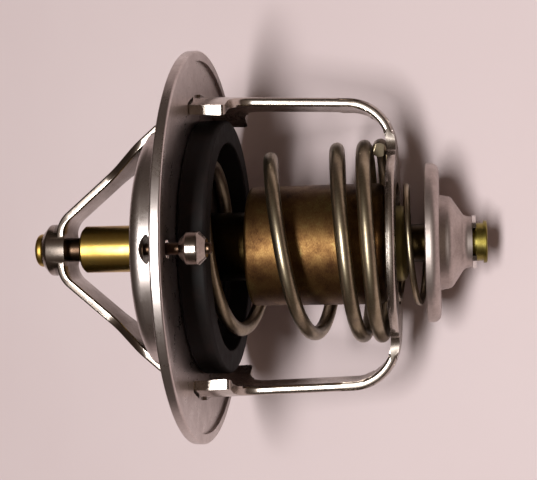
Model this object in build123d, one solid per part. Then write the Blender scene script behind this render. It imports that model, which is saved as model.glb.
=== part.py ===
from build123d import *
from math import cos, radians, sin
import os

os.makedirs("parts", exist_ok=True)

# Wax-pellet thermostat of an engine cooling system, in millimetres.
# Heights are measured from the radiator-side face of the flange, and the finished pieces
# are lifted so that the origin is on the axis, midway through the rim's thickness.
# +Z runs along the axis to the bridge, -Z to the engine. The legs of the bridge and of
# the lower frame stand at +X and -X, and the jiggle pin is on the -Y side.

# ---------------------------------------------------------------- driving dimensions
# clearances
running_gap = 0.05          # radial, between a shaft and the hole it slides in
press_gap = 0.01            # radial, between pieces pressed or rolled together
seat_gap = 0.02             # between faces that rest on each other and come apart
slot_gap = 0.10             # between a tab and its slot
slot_side_gap = 0.25        # radial, outside a frame tab
slot_end_gap = 0.9          # at the outer end of a frame slot
frame_notch_gap = 0.5       # round a bridge tab, in the frame's foot
frame_hole_gap = 0.1        # radial, between the cup and the frame's hole
fine_round = 0.2            # on the small turned and pressed edges
edge_round = 0.3            # on the larger ones

# flange: an upper plate whose rim is rolled over the edge of a seat plate
flange_r = 28.0
flange_sheet = 0.6
seat_sheet = 0.4
curl_sheet = 0.45
curl_width = 1.4

# throat drawn up out of the flange round the main valve
throat_r = 16.8
throat_height = 5.8
throat_lip = 3.2
throat_round = 1.6
throat_root_round = 1.0

# bridge: a strap with a drawn boss that holds the piston
bridge_sheet = 1.2
bridge_apex_z = 20.3
bridge_apex_half = 4.1
bridge_foot_x = 21.2
bridge_bend = 3.0
bridge_half_width = 3.3
bridge_foot_half_width = 5.8
bridge_flare_low_z = 7.6
bridge_flare_high_z = 11.6
bridge_flare_round = 3.6
bridge_tab_half_width = 3.6
bridge_tab_head = 0.5
boss_r = 3.76
boss_height = 1.6
boss_round = 0.3
boss_tip_r = 2.5
boss_tip_height = 2.75

# piston and the brass plug behind it
piston_r = 1.75
piston_length = 42.0
piston_point = 3.0
piston_point_r = 0.9
piston_point_round = 0.3
plug_head_r = 2.4
plug_head_height = 1.0
plug_head_round = 0.6
plug_shank = 1.4

# wax element: guide, collar, cup and the pieces sealed in it
guide_r = 3.4
guide_top_z = 17.0
guide_chamfer = 0.35
collar_r = 6.1
collar_height = 1.4
neck_r = 4.9
cup_r = 8.5
cup_wall = 0.8
cup_top_z = -8.0
cup_rolled_edge = 0.6
cup_rolled_r = 5.6
cup_rolled_round = 0.5
cup_round = 1.3
cup_inner_round = 0.8
cup_shoulder_z = -27.2
cup_floor = 0.9
nose_r = 5.3
nose_length = 2.75
nose_round = 0.9
guide_flange_height = 2.2
washer_r = 3.2
washer_height = 1.0
boot_r = 3.5
boot_flange_height = 1.2
boot_end_wall = 1.6
boot_end_round = 0.8

# main valve: a steel dish with a rubber skirt bonded round its rim
dish_gap = 0.5
dish_sheet = 0.9
dish_depth = 4.2
dish_round = 1.0
seat_lap = 1.3
skirt_round = 0.5
skirt_under = 0.65
skirt_inner_wall = 0.6
skirt_floor_width = 1.2
skirt_floor = 0.6

# main spring, right-handed, from the valve dish to the frame
spring_wire_r = 1.0
spring_valve_r = 11.75
spring_frame_r = 13.3
spring_shift = 0.4
spring_first_angle = -429.0
spring_heights = [
    0.0, 0.3, 2.3, 4.9, 7.1, 9.5, 12.6, 15.6, 17.4,
    18.8, 20.6, 22.0, 22.3, 22.5, 23.7, 24.5, 24.65, 24.66,
]

# lower frame: a strap pressed to a U, with a ring that guides the cup
frame_sheet = 1.2
frame_foot_r = 21.6
frame_foot_depth = 5.0
frame_foot_half_width = 9.0
frame_foot_round = 0.6
frame_leg_half_width = 3.9
frame_leg_round = 3.0
frame_shoulder_r = 20.5
frame_shoulder_z = -22.9
frame_shoulder_bend = 7.0
frame_bottom_r = 15.2
frame_bottom_z = -28.75
frame_bottom_bend = 3.2
frame_ring_r = 13.4
frame_ring_round = 2.0
frame_tab_inner_y = 6.2
frame_tab_outer_y = 8.6
frame_tab_head = 0.45
tab_head_reach = 0.35

# bypass valve on its stem
stem_r = 2.65
stem_end_z = -40.9
stem_spigot_r = 1.6
stem_spigot_length = 1.4
stem_head_r = 2.95
stem_head_height = 0.5
groove_r = 2.1
groove_height = 0.6
groove_z = -38.85
clip_sheet = 0.5
clip_r = 3.7
clip_mouth_half = 1.9
clip_ear_angle = 25.0
pan_r = 11.1
pan_face_z = -34.45
pan_sheet = 0.9
pan_depth = 1.85
pan_round = 1.1
bell_r = 6.65
bell_sheet = 0.8
bell_shoulder_depth = 1.55
bell_round = 0.9
bell_inner_round = 0.6
bell_taper = 0.3
bell_neck_taper = 0.15
bell_neck_r = 3.5
bell_neck_length = 1.05
bypass_wire_r = 0.45
bypass_element_r = 7.7
bypass_pan_r = 8.45
bypass_first_angle = -360.0
bypass_heights = [0.0, 0.4, 0.9, 1.5, 2.3, 2.8, 3.9, 4.8, 5.42, 5.44]

# jiggle pin, hanging in its hole through the flange
jiggle_skirt_gap = 2.25
jiggle_hole_r = 1.2
jiggle_shaft_r = 0.78
jiggle_head_r = 1.9
jiggle_head_height = 0.95
jiggle_lift = 1.7
jiggle_weight_r = 2.15
jiggle_weight_z = -2.65
jiggle_weight_height = 3.4
jiggle_weight_slope = 0.95
jiggle_nub_r = 0.75
jiggle_nub_height = 0.7

# ---------------------------------------------------------------- sizes that follow
seat_top_z = -flange_sheet
flange_face_z = seat_top_z - seat_sheet
rim_face_z = flange_face_z - curl_sheet
throat_lip_r = throat_r - throat_lip
curl_r = flange_r - curl_width
rim_middle_z = rim_face_z / 2
seat_plate_r = flange_r - flange_sheet
boss_top_z = bridge_apex_z + boss_height
boss_tip_z = bridge_apex_z + boss_tip_height
plug_end_z = boss_tip_z - plug_shank
piston_end_z = plug_end_z - piston_length
piston_bore_r = piston_r + running_gap
dish_r = throat_r - dish_gap
dish_top_z = -seat_gap
dish_face_z = dish_top_z - dish_sheet
guide_flange_z = cup_top_z - cup_rolled_edge
guide_end_z = guide_flange_z - guide_flange_height
cup_bore_r = cup_r - cup_wall
cup_bottom_z = cup_shoulder_z + cup_floor
nose_end_z = cup_shoulder_z - nose_length
boot_flange_z = guide_end_z - boot_flange_height
boot_end_z = piston_end_z - boot_end_wall
skirt_r = throat_r + seat_lap
jiggle_y = -(skirt_r + jiggle_skirt_gap + jiggle_weight_r)
skirt_inner_r = dish_r - dish_sheet - skirt_inner_wall
skirt_floor_r = skirt_inner_r - skirt_floor_width
skirt_top_z = flange_face_z - seat_gap
skirt_end_z = dish_top_z - dish_depth - skirt_under
frame_top_z = frame_bottom_z + frame_sheet
frame_hole_r = cup_r + frame_hole_gap
tab_slot_inner_r = frame_foot_r - frame_sheet - slot_gap
tab_slot_outer_r = frame_foot_r + slot_side_gap
bridge_tab_inner_x = bridge_foot_x - bridge_sheet
bridge_tab_end_z = flange_face_z - bridge_tab_head
clip_top_z = groove_z - seat_gap
bell_end_z = clip_top_z + seat_gap
reach = 2 * flange_r          # longer than anything it cuts


# ---------------------------------------------------------------- helpers
def outline(corners):
    """Closed face from (x, y) corners; a third number rounds that corner."""
    points = [(corner[0], corner[1]) for corner in corners]
    rounds = [corner[2] if len(corner) > 2 else 0 for corner in corners]
    return make_face(FilletPolyline(*points, radius=rounds, close=True).edges())


def inset(points, distance):
    """The open line moved to its right by the distance, with mitred corners."""
    normals = []
    for start, end in zip(points, points[1:]):
        run = (end[0] - start[0], end[1] - start[1])
        length = (run[0] ** 2 + run[1] ** 2) ** 0.5
        normals.append((run[1] / length, -run[0] / length))
    moved = []
    for k, point in enumerate(points):
        before = normals[max(k - 1, 0)]
        after = normals[min(k, len(normals) - 1)]
        scale = distance / (1 + before[0] * after[0] + before[1] * after[1])
        x = point[0] + (before[0] + after[0]) * scale
        y = point[1] + (before[1] + after[1]) * scale
        moved.append((x, y))
    return moved


def bent_sheet(line, rounds, sheet):
    """Section of a sheet bent along an open line; the rounds belong to its inner corners."""
    outer = [(*point, turn) for point, turn in zip(line, rounds)]
    inner_rounds = [max(turn - sheet, 0) for turn in rounds]
    inner = [(*point, turn) for point, turn in zip(inset(line, sheet), inner_rounds)]
    return outline(outer + inner[::-1])


def turned(corners):
    """Solid of revolution about Z from the (radius, z) corners of its half section."""
    return revolve(Plane.XZ * outline(corners), Axis.Z)


def ring(outer_r, inner_r, low_z, high_z):
    """Plain ring about the Z axis."""
    return turned([(inner_r, low_z), (outer_r, low_z), (outer_r, high_z), (inner_r, high_z)])


def block(low, high):
    """Box between two opposite corners."""
    size = [high[k] - low[k] for k in range(3)]
    middle = [(high[k] + low[k]) / 2 for k in range(3)]
    return Pos(*middle) * Box(*size)


def tab_spans(low, high):
    """The spans of the two frame tabs of one foot, either side of its middle."""
    return [(low, high), (-high, -low)]


def both_sides(body):
    """The body with its copy turned half round the axis."""
    return body + Rot(0, 0, 180) * body


def height_at(place, heights):
    """Smooth height at a place along a list of heights."""
    knot = min(int(place), len(heights) - 2)
    share = place - knot
    low = heights[knot]
    high = heights[knot + 1]
    low_slope = (high - heights[max(knot - 1, 0)]) / 2
    high_slope = (heights[min(knot + 2, len(heights) - 1)] - low) / 2
    climb = (3 - 2 * share) * share * share
    lean = low_slope * (1 - share) - high_slope * share
    return low + (high - low) * climb + share * (1 - share) * lean


def coil(wire_r, ends, radii, shift, first_angle, heights):
    """Right-handed spring between two heights; the list holds one height per quarter turn."""
    steps = 3 * (len(heights) - 1)
    points = []
    for step in range(steps + 1):
        place = step / 3
        share = height_at(place, heights) / heights[-1]
        swell = share * share * (3 - 2 * share)
        radius = radii[0] + (radii[1] - radii[0]) * swell
        angle = radians(first_angle + 90 * place)
        z = ends[0] + (ends[1] - ends[0]) * share
        points.append((radius * cos(angle) + shift * swell, -radius * sin(angle), z))
    path = Spline(*points)
    section = Plane(origin=path @ 0, z_dir=path % 0) * Circle(wire_r)
    return sweep(section, path=path, is_frenet=True)


# ---------------------------------------------------------------- flange
def slot_cutter(low_z, high_z):
    """Slots for the tabs of the lower frame and of the bridge."""
    band = ring(tab_slot_outer_r, tab_slot_inner_r, low_z, high_z)
    spans = tab_spans(frame_tab_inner_y - slot_gap, frame_tab_outer_y + slot_end_gap)
    arcs = Part()
    for near_y, far_y in spans:
        arcs += band & block((-reach, near_y, low_z), (reach, far_y, high_z))
    half = bridge_tab_half_width + slot_gap
    low = (bridge_tab_inner_x - slot_gap, -half, low_z)
    high = (bridge_foot_x + slot_gap, half, high_z)
    return arcs + both_sides(block(low, high))


def jiggle_hole():
    """Hole through both plates, for the jiggle pin."""
    return Pos(0, jiggle_y, 0) * Cylinder(jiggle_hole_r, 4 * (flange_sheet + seat_sheet))


def leg_windows():
    """Windows in the throat's wall that let the legs of the bridge through."""
    line = [(bridge_apex_half, bridge_apex_z), (bridge_foot_x, 0)]
    top, foot = inset(line, bridge_sheet + slot_gap)
    half = bridge_foot_half_width + slot_gap
    side = outline([foot, top, (reach, top[1]), (reach, foot[1])])
    window = extrude(Plane.XZ * side, amount=half, both=True)
    window &= block((0, -half, 0), (reach, half, throat_height + 1))
    return both_sides(window)


def make_flange_plate():
    outer_r = throat_r + flange_sheet
    plate = turned([
        (throat_r, seat_top_z),
        (throat_r, throat_height - flange_sheet, throat_round - flange_sheet),
        (throat_lip_r, throat_height - flange_sheet),
        (throat_lip_r, throat_height),
        (outer_r, throat_height, throat_round),
        (outer_r, 0, throat_root_round),
        (flange_r, 0, edge_round),
        (flange_r, rim_face_z, edge_round),
        (curl_r, rim_face_z),
        (curl_r, flange_face_z),
        (seat_plate_r, flange_face_z),
        (seat_plate_r, seat_top_z),
    ])
    plate -= slot_cutter(seat_top_z - 1, 1)
    plate -= leg_windows()
    return plate - jiggle_hole()


def make_seat_plate():
    plate = ring(seat_plate_r, throat_r, flange_face_z, seat_top_z)
    plate -= slot_cutter(flange_face_z - 1, 1)
    return plate - jiggle_hole()


# ---------------------------------------------------------------- bridge
def bridge_profile():
    """The bent strap seen along Y, without its boss and tabs."""
    line = [
        (-bridge_foot_x, 0),
        (-bridge_apex_half, bridge_apex_z),
        (bridge_apex_half, bridge_apex_z),
        (bridge_foot_x, 0),
    ]
    outer_bend = bridge_bend + bridge_sheet
    return bent_sheet(line, (0, outer_bend, outer_bend, 0), bridge_sheet)


def bridge_plan():
    """The bridge seen along X: narrow at the apex and wide at the feet."""
    top_z = boss_tip_z + 1
    face = outline([
        (-bridge_foot_half_width, 0),
        (-bridge_foot_half_width, bridge_flare_low_z, bridge_flare_round),
        (-bridge_half_width, bridge_flare_high_z, bridge_flare_round),
        (-bridge_half_width, top_z),
        (bridge_half_width, top_z),
        (bridge_half_width, bridge_flare_high_z, bridge_flare_round),
        (bridge_foot_half_width, bridge_flare_low_z, bridge_flare_round),
        (bridge_foot_half_width, 0),
    ])
    return extrude(Plane.YZ * face, amount=reach, both=True)


def bridge_tab():
    """Tab that goes through the flange, with its end spread behind the seat plate."""
    half = bridge_tab_half_width
    tab = block((bridge_tab_inner_x, -half, bridge_tab_end_z), (bridge_foot_x, half, bridge_sheet / 2))
    low = (bridge_tab_inner_x - tab_head_reach, -half, bridge_tab_end_z)
    high = (bridge_foot_x + tab_head_reach, half, flange_face_z)
    return tab + block(low, high)


def make_bridge():
    strap = extrude(Plane.XZ * bridge_profile(), amount=reach, both=True) & bridge_plan()
    strap = fillet(long_edges(strap), edge_round)
    strap += turned([
        (0, bridge_apex_z - bridge_sheet),
        (boss_r, bridge_apex_z - bridge_sheet),
        (boss_r, boss_top_z, boss_round),
        (boss_tip_r, boss_tip_z),
        (0, boss_tip_z),
    ])
    strap += both_sides(bridge_tab())
    return strap - ring(piston_r + press_gap, 0, 0, boss_tip_z + 1)


def long_edges(strap):
    """Edges along the sides of the strap, above its feet."""
    chosen = []
    for edge in strap.edges():
        box = edge.bounding_box()
        if box.size.X > 0.05 and box.min.Z > -0.01 and box.max.Z > 0.5:
            chosen.append(edge)
    return chosen


def make_piston():
    return turned([
        (0, piston_end_z),
        (piston_point_r, piston_end_z, piston_point_round),
        (piston_r, piston_end_z + piston_point),
        (piston_r, plug_end_z),
        (0, plug_end_z),
    ])


def make_piston_plug():
    return turned([
        (0, plug_end_z),
        (piston_r, plug_end_z),
        (piston_r, boss_tip_z),
        (plug_head_r, boss_tip_z),
        (plug_head_r, boss_tip_z + plug_head_height, plug_head_round),
        (0, boss_tip_z + plug_head_height),
    ])


# ---------------------------------------------------------------- wax element
def make_guide():
    return turned([
        (piston_bore_r, guide_top_z),
        (guide_r - guide_chamfer, guide_top_z),
        (guide_r, guide_top_z - guide_chamfer),
        (guide_r, 0),
        (neck_r, 0),
        (neck_r, guide_flange_z),
        (cup_bore_r, guide_flange_z),
        (cup_bore_r, guide_end_z),
        (washer_r, guide_end_z),
        (washer_r, guide_end_z + washer_height),
        (piston_bore_r, guide_end_z + washer_height),
    ])


def make_collar():
    return turned([
        (guide_r + press_gap, 0),
        (collar_r, 0, edge_round),
        (collar_r, collar_height, edge_round),
        (guide_r + press_gap, collar_height),
    ])


def make_cup():
    return turned([
        (0, nose_end_z),
        (nose_r, nose_end_z, nose_round),
        (nose_r, cup_shoulder_z),
        (cup_r, cup_shoulder_z, cup_round),
        (cup_r, cup_top_z, cup_rolled_round),
        (cup_rolled_r, cup_top_z),
        (cup_rolled_r, guide_flange_z),
        (cup_bore_r, guide_flange_z),
        (cup_bore_r, cup_bottom_z, cup_inner_round),
        (0, cup_bottom_z),
    ]) - ring(stem_spigot_r, 0, nose_end_z - 1, nose_end_z + stem_spigot_length)


def make_washer():
    return ring(washer_r, piston_bore_r, guide_end_z, guide_end_z + washer_height)


def make_boot():
    return turned([
        (0, boot_end_z),
        (boot_r, boot_end_z, boot_end_round),
        (boot_r, boot_flange_z),
        (cup_bore_r, boot_flange_z),
        (cup_bore_r, guide_end_z),
        (piston_bore_r, guide_end_z),
        (piston_bore_r, piston_end_z - seat_gap),
        (0, piston_end_z - seat_gap),
    ])


def make_wax():
    body = turned([
        (0, cup_bottom_z),
        (cup_bore_r, cup_bottom_z, cup_inner_round),
        (cup_bore_r, boot_flange_z),
        (0, boot_flange_z),
    ])
    return body - turned([(0, boot_end_z), (boot_r, boot_end_z, boot_end_round), (boot_r, 0), (0, 0)])


# ---------------------------------------------------------------- main valve
def make_dish():
    inner_rim_r = dish_r - dish_sheet
    return turned([
        (neck_r + running_gap, dish_top_z),
        (dish_r, dish_top_z, dish_round),
        (dish_r, dish_top_z - dish_depth),
        (inner_rim_r, dish_top_z - dish_depth),
        (inner_rim_r, dish_face_z, dish_round / 3),
        (neck_r + running_gap, dish_face_z),
    ])


def make_skirt():
    inner_rim_r = dish_r - dish_sheet
    return turned([
        (dish_r, skirt_top_z),
        (skirt_r, skirt_top_z, skirt_round),
        (skirt_r, skirt_end_z, skirt_round),
        (skirt_inner_r, skirt_end_z, skirt_round / 2),
        (skirt_inner_r, dish_face_z - skirt_floor, skirt_round),
        (skirt_floor_r, dish_face_z - skirt_floor, skirt_round / 2),
        (skirt_floor_r, dish_face_z),
        (inner_rim_r, dish_face_z, dish_round / 3),
        (inner_rim_r, dish_top_z - dish_depth),
        (dish_r, dish_top_z - dish_depth),
    ])


def make_main_spring():
    low_end = frame_top_z + spring_wire_r + seat_gap
    top_end = dish_face_z - spring_wire_r - seat_gap
    ends = (top_end, low_end)
    radii = (spring_valve_r, spring_frame_r)
    return coil(spring_wire_r, ends, radii, spring_shift, spring_first_angle, spring_heights)


# ---------------------------------------------------------------- lower frame
def frame_shell():
    """The pressed shell all round the axis, before its sides are cut away."""
    line = [
        (frame_foot_r, frame_sheet),
        (frame_shoulder_r, frame_shoulder_z),
        (frame_bottom_r, frame_bottom_z),
        (0, frame_bottom_z),
    ]
    section = bent_sheet(line, (0, frame_shoulder_bend, frame_bottom_bend, 0), frame_sheet)
    return revolve(Plane.XZ * section, Axis.Z)


def frame_sides():
    """The legs and feet seen along X, with two tabs on top of each foot."""
    foot_end_z = flange_face_z - frame_foot_depth
    foot = frame_foot_half_width
    leg = frame_leg_half_width
    face = outline([
        (-foot, flange_face_z),
        (-foot, foot_end_z, frame_foot_round),
        (-leg, foot_end_z, frame_leg_round),
        (-leg, frame_bottom_z - 1),
        (leg, frame_bottom_z - 1),
        (leg, foot_end_z, frame_leg_round),
        (foot, foot_end_z, frame_foot_round),
        (foot, flange_face_z),
    ])
    sides = extrude(Plane.YZ * face, amount=reach, both=True)
    for near_y, far_y in tab_spans(frame_tab_inner_y, frame_tab_outer_y):
        sides += block((-reach, near_y, flange_face_z - 1), (reach, far_y, 0))
    half = bridge_tab_half_width + frame_notch_gap
    return sides - block((-reach, -half, bridge_tab_end_z - frame_notch_gap), (reach, half, 1))


def frame_tab_heads():
    """The tabs' ends, spread over the edges of their slots."""
    outer_r = tab_slot_outer_r + tab_head_reach
    band = ring(outer_r, tab_slot_inner_r - tab_head_reach, 0, frame_tab_head)
    heads = Part()
    for near_y, far_y in tab_spans(frame_tab_inner_y, frame_tab_outer_y):
        heads += band & block((-reach, near_y, 0), (reach, far_y, frame_tab_head))
    return heads


def frame_base():
    """Outline of the flat ring and of the strap that crosses it, seen along the axis."""
    plan = Circle(frame_ring_r) + Rectangle(2 * frame_foot_r, 2 * frame_leg_half_width)
    meeting_x = (frame_ring_r ** 2 - frame_leg_half_width ** 2) ** 0.5
    corners = [v for v in plan.vertices() if abs(abs(v.X) - meeting_x) < 0.01]
    plan = fillet(corners, frame_ring_round)
    return extrude(Plane(origin=(0, 0, frame_bottom_z - 1)) * plan, amount=frame_ring_round + 2)


def make_lower_frame():
    shell = frame_shell()
    frame = (shell & frame_sides()) + (shell & frame_base())
    frame += frame_tab_heads()
    return frame - ring(frame_hole_r, 0, frame_bottom_z - 1, frame_top_z + 1)


# ---------------------------------------------------------------- bypass valve
def make_stem():
    groove_low_z = groove_z - groove_height
    return turned([
        (0, stem_end_z),
        (stem_head_r, stem_end_z, fine_round),
        (stem_head_r, stem_end_z + stem_head_height),
        (stem_r, stem_end_z + stem_head_height),
        (stem_r, groove_low_z),
        (groove_r, groove_low_z),
        (groove_r, groove_z),
        (stem_r, groove_z),
        (stem_r, nose_end_z),
        (stem_spigot_r - press_gap, nose_end_z),
        (stem_spigot_r - press_gap, nose_end_z + stem_spigot_length - seat_gap),
        (0, nose_end_z + stem_spigot_length - seat_gap),
    ])


def make_clip():
    clip = ring(clip_r, groove_r + seat_gap, clip_top_z - clip_sheet, clip_top_z)
    relief = Pos(groove_r, 0, clip_top_z) * Cylinder((clip_r - groove_r) / 2, 4 * clip_sheet)
    for angle in (clip_ear_angle, 180 - clip_ear_angle):
        clip -= Rot(0, 0, angle) * relief
    low = (-clip_mouth_half, -2 * clip_r, clip_top_z - 2 * clip_sheet)
    return clip - block(low, (clip_mouth_half, 0, clip_top_z + clip_sheet))


def make_pan():
    bore_r = stem_r + running_gap
    return turned([
        (bore_r, pan_face_z),
        (pan_r, pan_face_z, pan_round),
        (pan_r, pan_face_z + pan_depth, fine_round),
        (pan_r - pan_sheet, pan_face_z + pan_depth, fine_round),
        (pan_r - pan_sheet, pan_face_z + pan_sheet, edge_round),
        (bore_r, pan_face_z + pan_sheet),
    ])


def make_bell():
    line = [
        (bell_r, pan_face_z),
        (bell_r - bell_taper, pan_face_z - bell_shoulder_depth),
        (bell_neck_r + bell_neck_taper, bell_end_z + bell_neck_length),
        (bell_neck_r, bell_end_z),
    ]
    inner = inset(line, bell_sheet)
    bore_r = stem_r + running_gap
    return turned([
        line[0],
        (*line[1], bell_round),
        (*line[2], bell_round),
        line[3],
        (bore_r, bell_end_z),
        (bore_r, inner[2][1]),
        inner[2],
        (*inner[1], bell_inner_round),
        (inner[0][0], pan_face_z),
    ])


def make_bypass_spring():
    top_end = cup_shoulder_z - bypass_wire_r - seat_gap
    low_end = pan_face_z + pan_sheet + bypass_wire_r + seat_gap
    ends = (top_end, low_end)
    radii = (bypass_element_r, bypass_pan_r)
    return coil(bypass_wire_r, ends, radii, 0, bypass_first_angle, bypass_heights)


# ---------------------------------------------------------------- jiggle pin
def make_jiggle_pin():
    weight_end_z = jiggle_weight_z - jiggle_weight_height
    nub_end_z = weight_end_z - jiggle_nub_height
    dome_r = (jiggle_head_r ** 2 + jiggle_head_height ** 2) / (2 * jiggle_head_height)
    head_top_z = jiggle_lift + jiggle_head_height
    head = ring(jiggle_head_r, 0, jiggle_lift, head_top_z)
    head &= Pos(0, 0, head_top_z - dome_r) * Sphere(dome_r + seat_gap)
    shank = turned([
        (0, nub_end_z),
        (jiggle_nub_r, nub_end_z, jiggle_nub_r / 2),
        (jiggle_nub_r, weight_end_z),
        (jiggle_shaft_r, weight_end_z),
        (jiggle_shaft_r, jiggle_lift + seat_gap),
        (0, jiggle_lift + seat_gap),
    ])
    return Pos(0, jiggle_y, 0) * (shank + head)


def make_jiggle_weight():
    end_z = jiggle_weight_z - jiggle_weight_height
    slope = jiggle_weight_slope
    return Pos(0, jiggle_y, 0) * turned([
        (jiggle_shaft_r + press_gap, jiggle_weight_z),
        (jiggle_weight_r - slope, jiggle_weight_z, fine_round),
        (jiggle_weight_r, jiggle_weight_z - slope, edge_round),
        (jiggle_weight_r, end_z + slope, edge_round),
        (jiggle_weight_r - slope, end_z, fine_round),
        (jiggle_shaft_r + press_gap, end_z),
    ])


# ---------------------------------------------------------------- all pieces
PIECES = {
    "flange_plate": make_flange_plate,
    "seat_plate": make_seat_plate,
    "bridge": make_bridge,
    "piston": make_piston,
    "piston_plug": make_piston_plug,
    "guide": make_guide,
    "collar": make_collar,
    "cup": make_cup,
    "seal_washer": make_washer,
    "rubber_boot": make_boot,
    "wax_charge": make_wax,
    "valve_dish": make_dish,
    "valve_skirt": make_skirt,
    "main_spring": make_main_spring,
    "lower_frame": make_lower_frame,
    "bypass_stem": make_stem,
    "bypass_spring": make_bypass_spring,
    "bypass_pan": make_pan,
    "bypass_bell": make_bell,
    "retaining_clip": make_clip,
    "jiggle_pin": make_jiggle_pin,
    "jiggle_weight": make_jiggle_weight,
}

for name, make in PIECES.items():
    export_step(Pos(0, 0, -rim_middle_z) * make(), "parts/" + name + ".step")
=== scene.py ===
import math

import bmesh
import bpy
from mathutils import Matrix, Vector


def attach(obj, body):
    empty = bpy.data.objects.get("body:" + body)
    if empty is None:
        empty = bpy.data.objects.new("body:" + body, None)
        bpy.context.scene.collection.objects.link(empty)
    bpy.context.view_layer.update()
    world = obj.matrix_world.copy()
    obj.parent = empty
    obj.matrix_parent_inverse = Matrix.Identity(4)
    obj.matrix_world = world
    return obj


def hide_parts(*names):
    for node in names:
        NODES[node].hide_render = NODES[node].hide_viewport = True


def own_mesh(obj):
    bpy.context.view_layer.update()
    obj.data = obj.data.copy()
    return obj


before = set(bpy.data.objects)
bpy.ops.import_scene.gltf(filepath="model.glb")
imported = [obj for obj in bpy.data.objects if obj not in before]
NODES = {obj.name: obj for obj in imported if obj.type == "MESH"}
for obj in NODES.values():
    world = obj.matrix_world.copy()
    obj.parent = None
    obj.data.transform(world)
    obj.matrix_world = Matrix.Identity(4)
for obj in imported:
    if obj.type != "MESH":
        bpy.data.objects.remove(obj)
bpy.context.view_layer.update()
MM = 0.001


# ------------------------------------------------------------------ colours and nodes
MAPPING = "ShaderNodeMapping"
NOISE = "ShaderNodeTexNoise"
RANGE = "ShaderNodeMapRange"
RAMP = "ShaderNodeValToRGB"
MATH = "ShaderNodeMath"
MIX = "ShaderNodeMix"
MIX_FACTOR, MIX_FIRST, MIX_SECOND, MIX_COLOUR = 0, 6, 7, 2  # a colour mix's sockets


def linear(hex_colour):
    """An sRGB hex colour as linear RGBA."""
    channels = [int(hex_colour[k:k + 2], 16) / 255 for k in (1, 3, 5)]
    return [c / 12.92 if c <= 0.04045 else ((c + 0.055) / 1.055) ** 2.4 for c in channels] + [1.0]


def fill(node, values):
    """Gives a node its values by name. An input takes a number, a hex colour, an output, or a
    node for its first output. "stops" are a ramp's (position, hex colour) pairs. Any other
    name is a property of the node."""
    for name, value in values.items():
        if name == "stops":
            elements = node.color_ramp.elements
            while len(elements) < len(value):
                elements.new(0.5)
            for element, (position, colour) in zip(elements, value):
                element.position = position
                element.color = linear(colour)
        elif isinstance(value, (bpy.types.Node, bpy.types.NodeSocket)):
            source = value.outputs[0] if isinstance(value, bpy.types.Node) else value
            node.id_data.links.new(source, node.inputs[name])
        elif isinstance(name, int) or name in node.inputs:
            node.inputs[name].default_value = linear(value) if isinstance(value, str) else value
        else:
            setattr(node, name, value)


def add(owner, kind, values=None):
    """Adds a node to a material or world, with its values."""
    node = owner.node_tree.nodes.new(kind)
    fill(node, values or {})
    return node


def blank(name, constants):
    """A new material with its constant shader values, and Object coordinates in millimetres."""
    material = bpy.data.materials.new(name)
    material.use_nodes = True
    shader = material.node_tree.nodes["Principled BSDF"]
    fill(shader, constants)
    coords = add(material, "ShaderNodeTexCoord")
    to_mm = (1 / MM, 1 / MM, 1 / MM)
    place = add(material, MAPPING, {"Scale": to_mm, "Vector": coords.outputs["Object"]})
    return material, shader, place


# ------------------------------------------------------------------ materials
CLOUD_SHARE = 0.6              # of the tone; the grain gives the rest
TONE_LOW, TONE_HIGH = 0.38, 0.62
NOISE_LOW, NOISE_HIGH = 0.3, 0.7
SCRATCH_WIDTH = 0.018          # of the noise's range
SCRATCH_COLOUR = "#e9e4df"
SCRATCH_ROUGHNESS = 0.15
SCUFFED_LOW, SCUFFED_HIGH = 0.45, 0.6
FILM_AND_SHADE_COVER = 0.92
FILM_AND_SHADE_EDGE_MM = 0.4


def scratches(material, place, spacing_mm, stretch):
    """Thin scratches, where noise stretched along one direction crosses its middle value."""
    along = add(material, MAPPING, {"Scale": stretch, "Vector": place})
    fibre = add(material, NOISE, {
        "Vector": along, "Scale": 1 / spacing_mm, "Detail": 2.0, "Roughness": 0.5})
    from_middle = add(material, MATH, {"operation": "SUBTRACT", 0: fibre, 1: 0.5})
    distance = add(material, MATH, {"operation": "ABSOLUTE", 0: from_middle})
    return add(material, RANGE, {
        "Value": distance, "From Min": 0.0, "From Max": SCRATCH_WIDTH,
        "To Min": 1.0, "To Max": 0.0})


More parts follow.
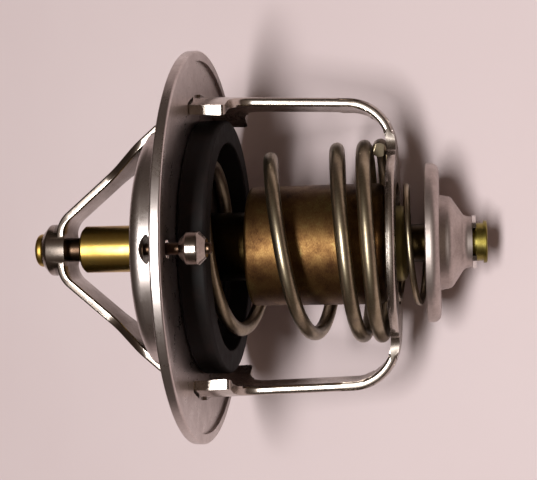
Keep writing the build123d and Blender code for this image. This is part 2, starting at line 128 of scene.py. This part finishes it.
def metal(name, stops, rough, grain_mm, bump_mm, stretch=(1, 1, 1), scuff=0.0, patch_mm=3.0,
          film_and_painted_shade=None):
    """Bare metal: cloudy tone, a fine grain that is finer still along an axis with a larger
    stretch, crossing scuffs, and a colour (from z, to z, colour) that covers it past a height in
    millimetres: a real film on some metals, painted shade on others."""
    material, shader, place = blank(name, {"Metallic": 1.0})
    cloud = add(material, NOISE, {
        "Vector": place, "Scale": 1 / patch_mm, "Detail": 5.0, "Roughness": 0.6})
    along = add(material, MAPPING, {"Scale": stretch, "Vector": place})
    grain = add(material, NOISE, {
        "Vector": along, "Scale": 1 / grain_mm, "Detail": 4.0, "Roughness": 0.7})
    cloud_part = add(material, MATH, {"operation": "MULTIPLY", 0: cloud, 1: CLOUD_SHARE})
    grain_part = add(material, MATH, {"operation": "MULTIPLY", 0: grain, 1: 1 - CLOUD_SHARE})
    tone = add(material, MATH, {"operation": "ADD", 0: cloud_part, 1: grain_part})
    colour = add(material, RAMP, {"Fac": tone, "stops": stops})
    roughness = add(material, RANGE, {
        "Value": tone, "From Min": TONE_LOW, "From Max": TONE_HIGH,
        "To Min": rough[1], "To Max": rough[0]})
    height = grain
    if scuff:
        marks = add(material, MATH, {
            "operation": "MAXIMUM",
            0: scratches(material, place, 1.4, (1, 0.25, 0.6)),
            1: scratches(material, place, 1.1, (0.3, 1, 0.8))})
        scuffed = add(material, RANGE, {
            "Value": cloud, "From Min": SCUFFED_LOW, "From Max": SCUFFED_HIGH,
            "To Min": 0.0, "To Max": scuff})
        worn = add(material, MATH, {"operation": "MULTIPLY", 0: marks, 1: scuffed})
        colour = add(material, MIX, {
            "data_type": "RGBA", MIX_FACTOR: worn, MIX_FIRST: colour,
            MIX_SECOND: SCRATCH_COLOUR}).outputs[MIX_COLOUR]
        rougher = add(material, MATH, {"operation": "MULTIPLY", 0: worn, 1: SCRATCH_ROUGHNESS})
        roughness = add(material, MATH, {"operation": "ADD", 0: roughness, 1: rougher})
        height = add(material, MATH, {"operation": "SUBTRACT", 0: grain, 1: worn})
    # Past a height the metal takes another colour: a real film on some metals, painted shade on
    # others.
    if film_and_painted_shade:
        from_z, to_z, film_and_shade_colour = film_and_painted_shade
        z = add(material, "ShaderNodeSeparateXYZ", {"Vector": place}).outputs["Z"]
        uneven = add(material, RANGE, {
            "Value": cloud, "From Min": NOISE_LOW, "From Max": NOISE_HIGH,
            "To Min": -FILM_AND_SHADE_EDGE_MM, "To Max": FILM_AND_SHADE_EDGE_MM})
        ragged = add(material, MATH, {"operation": "ADD", 0: z, 1: uneven})
        cover = add(material, RANGE, {
            "Value": ragged, "From Min": from_z, "From Max": to_z,
            "To Min": 0.0, "To Max": FILM_AND_SHADE_COVER})
        colour = add(material, MIX, {
            "data_type": "RGBA", MIX_FACTOR: cover, MIX_FIRST: colour,
            MIX_SECOND: film_and_shade_colour}).outputs[MIX_COLOUR]
    bump = add(material, "ShaderNodeBump", {
        "Strength": 0.6, "Distance": bump_mm * MM, "Height": height})
    fill(shader, {"Base Color": colour, "Roughness": roughness, "Normal": bump})
    return material


def moulded(name, stops, rough, grit_mm, bump_mm):
    """A moulded non-metal: cloudy bloom and fine grit."""
    material, shader, place = blank(name, {"Specular IOR Level": 0.22})
    bloom = add(material, NOISE, {
        "Vector": place, "Scale": 1 / 2.0, "Detail": 6.0, "Roughness": 0.65})
    grit = add(material, NOISE, {
        "Vector": place, "Scale": 1 / grit_mm, "Detail": 3.0, "Roughness": 0.6})
    roughness = add(material, RANGE, {
        "Value": bloom, "From Min": NOISE_LOW, "From Max": NOISE_HIGH,
        "To Min": rough[0], "To Max": rough[1]})
    bump = add(material, "ShaderNodeBump", {
        "Strength": 0.5, "Distance": bump_mm * MM, "Height": grit})
    colour = add(material, RAMP, {"Fac": bloom, "stops": stops})
    fill(shader, {"Base Color": colour, "Roughness": roughness, "Normal": bump})
    return material


# Cold-rolled stainless sheet, pressed and tumbled: satin, nearly even, with a few fine scuffs.
SHEET = metal("satin_stainless_sheet", [(0.36, "#b3a8a3"), (0.5, "#c0b5b0"), (0.64, "#cbc1bc")],
              rough=(0.26, 0.36), grain_mm=0.35, bump_mm=0.002, scuff=0.16)
# The same steel, thicker and with rolled edges: brighter, with long soft highlights.
STRAP = metal("bright_pressed_strap", [(0.36, "#9d938a"), (0.5, "#ada298"), (0.64, "#bfb4ab")],
              rough=(0.2, 0.3), grain_mm=0.4, bump_mm=0.003, scuff=0.2)
# Deep-pressed steel, burnished by its die: grey-brown faces and thin bright lines on its edges.
BURNISHED = metal("burnished_pressed_steel",
                  [(0.36, "#83766c"), (0.5, "#958980"), (0.64, "#a99d94")],
                  rough=(0.14, 0.24), grain_mm=0.4, bump_mm=0.003, stretch=(1, 1, 4), scuff=0.15)
# Pressed mild steel, oiled and darkened in hot water.
DULL = metal("dull_pressed_steel", [(0.36, "#2e2723"), (0.5, "#40372f"), (0.64, "#574c44")],
             rough=(0.38, 0.52), grain_mm=0.4, bump_mm=0.006)
# Ground hard steel with a brown film: dark and satin, its rings too fine to see apart.
DARK = metal("ground_hard_steel", [(0.36, "#33251b"), (0.5, "#4a382b"), (0.64, "#665242")],
             rough=(0.3, 0.42), grain_mm=0.12, bump_mm=0.003, stretch=(1, 1, 8))
# Hard-drawn stainless wire: a narrow bright line on a brown-grey round.
WIRE = metal("drawn_stainless_wire", [(0.36, "#7c6f5f"), (0.5, "#94876f"), (0.64, "#aa9d86")],
             rough=(0.3, 0.4), grain_mm=0.22, bump_mm=0.003)
# Turned brass, wiped clean: yellow and satin, its turning rings too fine to see apart.
BRASS_STOPS = [(0.36, "#96743a"), (0.5, "#b2924a"), (0.64, "#cab466")]
BRASS = metal("turned_brass", BRASS_STOPS,
              rough=(0.26, 0.38), grain_mm=0.12, bump_mm=0.003, stretch=(1, 1, 8))
# The guide is the same brass, and its neck inside the valve is painted near-black as painted shade
# from the valve around it.
GUIDE = metal("turned_brass_guide", BRASS_STOPS,
              rough=(0.26, 0.38), grain_mm=0.12, bump_mm=0.003, stretch=(1, 1, 8),
              film_and_painted_shade=(1.6, 0.6, "#17120e"))
# The bypass stem: dull olive brass at its end, and painted dark brown behind the pan as painted
# shade.
STAINED_AND_SHADED = metal("stained_and_shaded_brass", [(0.36, "#5d5222"), (0.5, "#7d7034"), (0.64, "#9c9052")],
                rough=(0.3, 0.42), grain_mm=0.2, bump_mm=0.004, stretch=(1, 1, 5),
                film_and_painted_shade=(-35.0, -34.2, "#2a1d15"))
# Drawn brass cup, browned by hot coolant: mottled, with a cleaner nose. The rings left by the
# draw are too fine to see apart.
TARNISH = metal("browned_drawn_brass",
                [(0.38, "#432c1b"), (0.47, "#5c4126"), (0.55, "#6c5130"), (0.66, "#7f6f43")],
                rough=(0.42, 0.54), grain_mm=0.3, bump_mm=0.008, stretch=(1, 1, 4), patch_mm=3.4,
                film_and_painted_shade=(-26.6, -27.2, "#8b8050"))
# Pressed sheet with a matt nickel coat.
BELL = metal("matt_nickelled_sheet", [(0.36, "#a2958f"), (0.5, "#b0a39d"), (0.64, "#bdb0aa")],
             rough=(0.4, 0.5), grain_mm=0.35, bump_mm=0.002)
# Zinc-plated spring steel, as stamped: nearly white.
PLATED = metal("plated_spring_steel", [(0.36, "#c2bbb5"), (0.5, "#d8d2cd"), (0.64, "#ece8e4")],
               rough=(0.1, 0.22), grain_mm=0.3, bump_mm=0.002)
# Nitrile rubber, moulded and used: nearly black, matt, with a faint brown bloom.
RUBBER = moulded("moulded_nitrile_rubber", [(0.35, "#0b0706"), (0.55, "#140d0b"), (0.7, "#201613")],
                 rough=(0.6, 0.75), grit_mm=0.12, bump_mm=0.012)
# Glass-filled fluoroplastic washer: off-white and waxy.
FILLED = moulded("filled_fluoroplastic", [(0.35, "#cfcbc4"), (0.7, "#e6e3dd")],
                 rough=(0.4, 0.55), grit_mm=0.15, bump_mm=0.01)
# Paraffin with copper powder, cast in the cup: brown and dull.
WAX = moulded("copper_filled_wax", [(0.35, "#6d3f22"), (0.7, "#8e5a33")],
              rough=(0.5, 0.7), grit_mm=0.1, bump_mm=0.01)

FINISH = {
    "flange_plate": SHEET, "seat_plate": SHEET, "bridge": BURNISHED, "piston": DARK,
    "piston_plug": BRASS, "guide": GUIDE, "collar": DULL, "cup": TARNISH, "seal_washer": FILLED,
    "rubber_boot": RUBBER, "wax_charge": WAX, "valve_dish": DULL, "valve_skirt": RUBBER,
    "main_spring": WIRE, "lower_frame": STRAP, "bypass_stem": STAINED_AND_SHADED, "bypass_spring": WIRE,
    "bypass_pan": BELL, "bypass_bell": BELL, "retaining_clip": PLATED, "jiggle_pin": DARK,
    "jiggle_weight": BURNISHED,
}


def dress(obj, material):
    """Gives an object one material."""
    obj.data.materials.clear()
    obj.data.materials.append(material)


for name, material in FINISH.items():
    dress(NODES[name], material)


# ------------------------------------------------------------------ rounded edges
MERGE = 0.002 * MM
FLAT = math.radians(0.5)
SHARP = math.radians(30)
ROLLED_EDGE = 0.42 * MM
EDGE_SEGMENTS = 3
ARC_STEPS = 24


def copy_mesh(node):
    """A merged copy of a CAD node's mesh."""
    bm = bmesh.new()
    bm.from_mesh(NODES[node].data)
    bmesh.ops.remove_doubles(bm, verts=bm.verts, dist=MERGE)
    return bm


def whole_faces(bm):
    """Joins the triangles of each flat face."""
    bmesh.ops.dissolve_limit(bm, angle_limit=FLAT, verts=bm.verts, edges=bm.edges)


def roll_edges(bm, is_long_edge):
    """Rolls over the sharp edges whose two ends pass the test, as the press does."""
    edges = [edge for edge in bm.edges
             if len(edge.link_faces) == 2 and edge.calc_face_angle() > SHARP
             and all(is_long_edge(*vert.co) for vert in edge.verts)]
    bmesh.ops.bevel(bm, geom=edges, offset=ROLLED_EDGE, offset_type="OFFSET",
                    segments=EDGE_SEGMENTS, profile=0.5, affect="EDGES", clamp_overlap=False,
                    material=-1)


def finish_copy(bm, name, node, body):
    """Turns the mesh into the piece that stands for the node."""
    mesh = bpy.data.meshes.new(name)
    bm.to_mesh(mesh)
    bm.free()
    mesh.shade_smooth()
    mesh.set_sharp_from_angle(angle=SHARP)
    piece = bpy.data.objects.new(name, mesh)
    bpy.context.scene.collection.objects.link(piece)
    dress(piece, FINISH[node])
    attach(piece, body)
    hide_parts(node)
    return piece


def filleted(points, radii):
    """Points of a line in the XZ plane with its inner corners rounded by arcs."""
    line = [Vector(points[0])]
    for before, corner, after, radius in zip(points, points[1:], points[2:], radii):
        corner = Vector(corner)
        back, ahead = (Vector(before) - corner).normalized(), (Vector(after) - corner).normalized()
        half = back.angle(ahead) / 2
        centre = corner + (back + ahead).normalized() * radius / math.sin(half)
        start = corner + back * radius / math.tan(half)
        end = corner + ahead * radius / math.tan(half)
        turn = (start - centre).angle_signed(end - centre)
        for k in range(ARC_STEPS + 1):
            turned = Matrix.Rotation(-turn * k / ARC_STEPS, 2) @ (start - centre)
            line.append(centre + turned)
    return line + [Vector(points[-1])]


def place_on(line, point):
    """The nearest place on a line of points: how far along it, and how far to its left."""
    best = None
    run = 0.0
    for start, end in zip(line, line[1:]):
        way = end - start
        length = way.length
        along = min(max((point - start).dot(way) / length, 0.0), length)
        foot = start + way * along / length
        gap = (point - foot).length
        if best is None or gap < best[0]:
            side = way.x * (point - start).y - way.y * (point - start).x
            best = (gap, run + along, math.copysign(gap, side))
        run += length
    return best[1], best[2]


def point_on(line, along, left):
    """The point that stands so far along a line and so far to its left."""
    for start, end in zip(line, line[1:]):
        way = end - start
        if along <= way.length:
            break
        along -= way.length
    return start + way.normalized() * along + Vector((-way.y, way.x)).normalized() * left


def length_of(line):
    """The length of a line of points."""
    return sum((end - start).length for start, end in zip(line, line[1:]))


# The frame leg's outer face as (radius, z) in millimetres: its two bends become one sweep.
LEG_START, LEG_END = (20.645, -19.0), (13.72, -28.025)
TWO_BENDS = filleted([LEG_START, (20.5, -22.175), (15.2, -28.025), LEG_END], (7.0, 3.2))
ONE_SWEEP = filleted([LEG_START, (20.233, -28.025), LEG_END], (6.8,))
# The leg is cut across at these heights, so that it can follow the sweep.
FIRST_CUT_Z, CUT_STEP, CUTS = -22.4, 0.35, 15
ON_CUT = 0.001 * MM


def sweep_corners(bm):
    """Bends the frame's two corners in one sweep each, keeping the sheet's thickness."""
    for k in range(CUTS):
        cut_z = (FIRST_CUT_Z - CUT_STEP * k) * MM
        bmesh.ops.bisect_plane(bm, geom=bm.verts[:] + bm.edges[:] + bm.faces[:], dist=ON_CUT,
                               plane_co=(0, 0, cut_z), plane_no=(0, 0, 1))
    longer = length_of(ONE_SWEEP) / length_of(TWO_BENDS)
    for vert in bm.verts:
        x, y, z = vert.co / MM
        radius = math.hypot(x, y)
        if radius > LEG_END[0] and z < LEG_START[1]:
            along, left = place_on(TWO_BENDS, Vector((radius, z)))
            radius, z = point_on(ONE_SWEEP, along * longer, left)
            vert.co = Vector((math.copysign(math.sqrt(radius ** 2 - y ** 2), x), y, z)) * MM


LEG_INNER_R, LEG_TOP_Z = 15.4 * MM, -6 * MM
RIM_INNER_R, RIM_OUTER_R = 13.3 * MM, 13.5 * MM
LEG_ROOT_Y = 6.5 * MM
BRIDGE_LEG_X, BRIDGE_FOOT_Z = 5 * MM, 2.5 * MM


def on_frame_leg(x, y, z):
    """Whether a point is on a leg of the frame, below its foot."""
    return math.hypot(x, y) > LEG_INNER_R and z < LEG_TOP_Z


def on_ring_rim(x, y, z):
    """Whether a point is on the outer rim of the frame's ring, clear of the legs."""
    return RIM_INNER_R < math.hypot(x, y) < RIM_OUTER_R and abs(y) > LEG_ROOT_Y


def on_bridge_leg(x, y, z):
    """Whether a point is on a leg of the bridge, above its foot and clear of the boss."""
    return abs(x) > BRIDGE_LEG_X and z > BRIDGE_FOOT_Z


frame_copy = copy_mesh("lower_frame")
whole_faces(frame_copy)
sweep_corners(frame_copy)
roll_edges(frame_copy, on_frame_leg)
roll_edges(frame_copy, on_ring_rim)
finish_copy(frame_copy, "pressed_frame", "lower_frame", "flange")
bridge_copy = copy_mesh("bridge")
whole_faces(bridge_copy)
roll_edges(bridge_copy, on_bridge_leg)
finish_copy(bridge_copy, "pressed_bridge", "bridge", "flange")


# ------------------------------------------------------------------ springs
def shortening_spring(node, name, body):
    """A copy of the spring, with a mesh of its own, that stands for the node."""
    piece = finish_copy(copy_mesh(node), name, node, body)
    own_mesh(piece)


shortening_spring("main_spring", "coiled_main_spring", "flange")
shortening_spring("bypass_spring", "coiled_bypass_spring", "element")


# ------------------------------------------------------------------ board, lamp, room, camera
# The thermostat lies on its flange rim and on the rim of the bypass pan, so the board leans.
BOARD_TOUCH = Vector((0, 28.05 * MM, -0.4 * MM))
BOARD_LEAN = math.radians(28)
BOARD_REACH = 1.2
BOARD_PATCH_MM = 60.0


def board_material():
    """Pale painted board, which shows on its front only."""
    material, shader, place = blank("pale_board", {"Roughness": 0.9, "Specular IOR Level": 0.1})
    cloud = add(material, NOISE, {
        "Vector": place, "Scale": 1 / BOARD_PATCH_MM, "Detail": 4.0, "Roughness": 0.6})
    paint = add(material, RAMP, {"Fac": cloud, "stops": [(0.3, "#d8c6c6"), (0.7, "#dbcaca")]})
    fill(shader, {"Base Color": paint})
    sides = add(material, "ShaderNodeNewGeometry")
    clear = add(material, "ShaderNodeBsdfTransparent")
    mix = add(material, "ShaderNodeMixShader", {
        0: sides.outputs["Backfacing"], 1: shader, 2: clear})
    fill(material.node_tree.nodes["Material Output"], {"Surface": mix})
    return material


def make_board():
    """The board that the thermostat lies on, on the +Y side, through the rim's lowest point."""
    bm = bmesh.new()
    bmesh.ops.create_grid(bm, x_segments=1, y_segments=1, size=BOARD_REACH)
    upright = Matrix.Rotation(math.radians(90) - BOARD_LEAN, 3, "X")
    bmesh.ops.rotate(bm, verts=bm.verts, cent=(0, 0, 0), matrix=upright)
    bmesh.ops.translate(bm, verts=bm.verts, vec=BOARD_TOUCH)
    mesh = bpy.data.meshes.new("board")
    bm.to_mesh(mesh)
    bm.free()
    board = bpy.data.objects.new("board", mesh)
    bpy.context.scene.collection.objects.link(board)
    mesh.materials.append(board_material())


LAMP_PLACE = Vector((-0.045, -0.57, 0.118))
LAMP_SIZE = (0.34, 0.078)
LAMP_WATTS = 3.7


def make_lamp():
    """A white strip lamp aimed at the origin, which lights the scene but isn't seen in it."""
    data = bpy.data.lights.new("strip_lamp", "AREA")
    data.shape = "RECTANGLE"
    data.size, data.size_y = LAMP_SIZE
    data.energy = LAMP_WATTS
    lamp = bpy.data.objects.new("strip_lamp", data)
    bpy.context.scene.collection.objects.link(lamp)
    lamp.location = LAMP_PLACE
    lamp.visible_camera = False
    lamp.rotation_euler = (-LAMP_PLACE).to_track_quat("-Z", "Y").to_euler()


ROOM_STOPS = [(0.0, "#453b34"), (0.6, "#5d5048"), (1.0, "#938478")]
ROOM_STRENGTH = 0.8
BACKDROP = "#d9c7c5"


def make_world():
    """A dim warm room, lighter overhead, which is the -Y side, and pale where it is seen itself."""
    world = bpy.data.worlds.new("room")
    bpy.context.scene.world = world
    world.use_nodes = True
    coords = add(world, "ShaderNodeTexCoord")
    axes = add(world, "ShaderNodeSeparateXYZ", {"Vector": coords.outputs["Generated"]})
    overhead = add(world, RANGE, {
        "Value": axes.outputs["Y"], "From Min": -1.0, "From Max": 0.0,
        "To Min": 1.0, "To Max": 0.0})
    tone = add(world, RAMP, {"Fac": overhead, "stops": ROOM_STOPS})
    room = add(world, "ShaderNodeBackground", {"Strength": ROOM_STRENGTH, "Color": tone})
    backdrop = add(world, "ShaderNodeBackground", {"Color": BACKDROP})
    seen = add(world, "ShaderNodeLightPath").outputs["Is Camera Ray"]
    mix = add(world, "ShaderNodeMixShader", {0: seen, 1: room, 2: backdrop})
    fill(world.node_tree.nodes["World Output"], {"Surface": mix})


# Picture of 537 x 480 pixels: focal length in pixels, the turn towards the engine end, the
# roll, and the origin seen from the camera (right, down, ahead) in millimetres.
FOCAL_PX, WIDTH_PX = 1150, 537
TURN, ROLL = math.radians(9.146), math.radians(-1.214)
AHEAD = Vector((-10.0603, -1.0604, 166.0061))
RIM_LIFT = Vector((0, 0, 0.725))
SENSOR_WIDTH = 36
NEAREST, FARTHEST = 0.01, 10


def make_camera():
    """Camera on the -Y side, with +X up and +Z to the left."""
    base = Matrix(((0, 0, -1), (1, 0, 0), (0, 1, 0)))
    yaw = Matrix(((math.cos(TURN), 0, math.sin(TURN)),
                  (0, 1, 0),
                  (-math.sin(TURN), 0, math.cos(TURN))))
    tilt = Matrix(((math.cos(ROLL), math.sin(ROLL), 0),
                   (-math.sin(ROLL), math.cos(ROLL), 0),
                   (0, 0, 1)))
    rows = tilt @ yaw @ base
    centre = (RIM_LIFT - rows.transposed() @ AHEAD) * MM
    data = bpy.data.cameras.new("camera")
    data.sensor_width = SENSOR_WIDTH
    data.lens = FOCAL_PX / WIDTH_PX * data.sensor_width
    data.clip_start, data.clip_end = NEAREST, FARTHEST
    camera = bpy.data.objects.new("camera", data)
    bpy.context.scene.collection.objects.link(camera)
    turned = Matrix((rows[0], rows[1], -rows[2])).transposed()
    camera.matrix_world = Matrix.Translation(centre) @ turned.to_4x4()
    bpy.context.scene.camera = camera


make_board()
make_world()
make_camera()
make_lamp()

bpy.context.scene.view_settings.view_transform = "Standard"
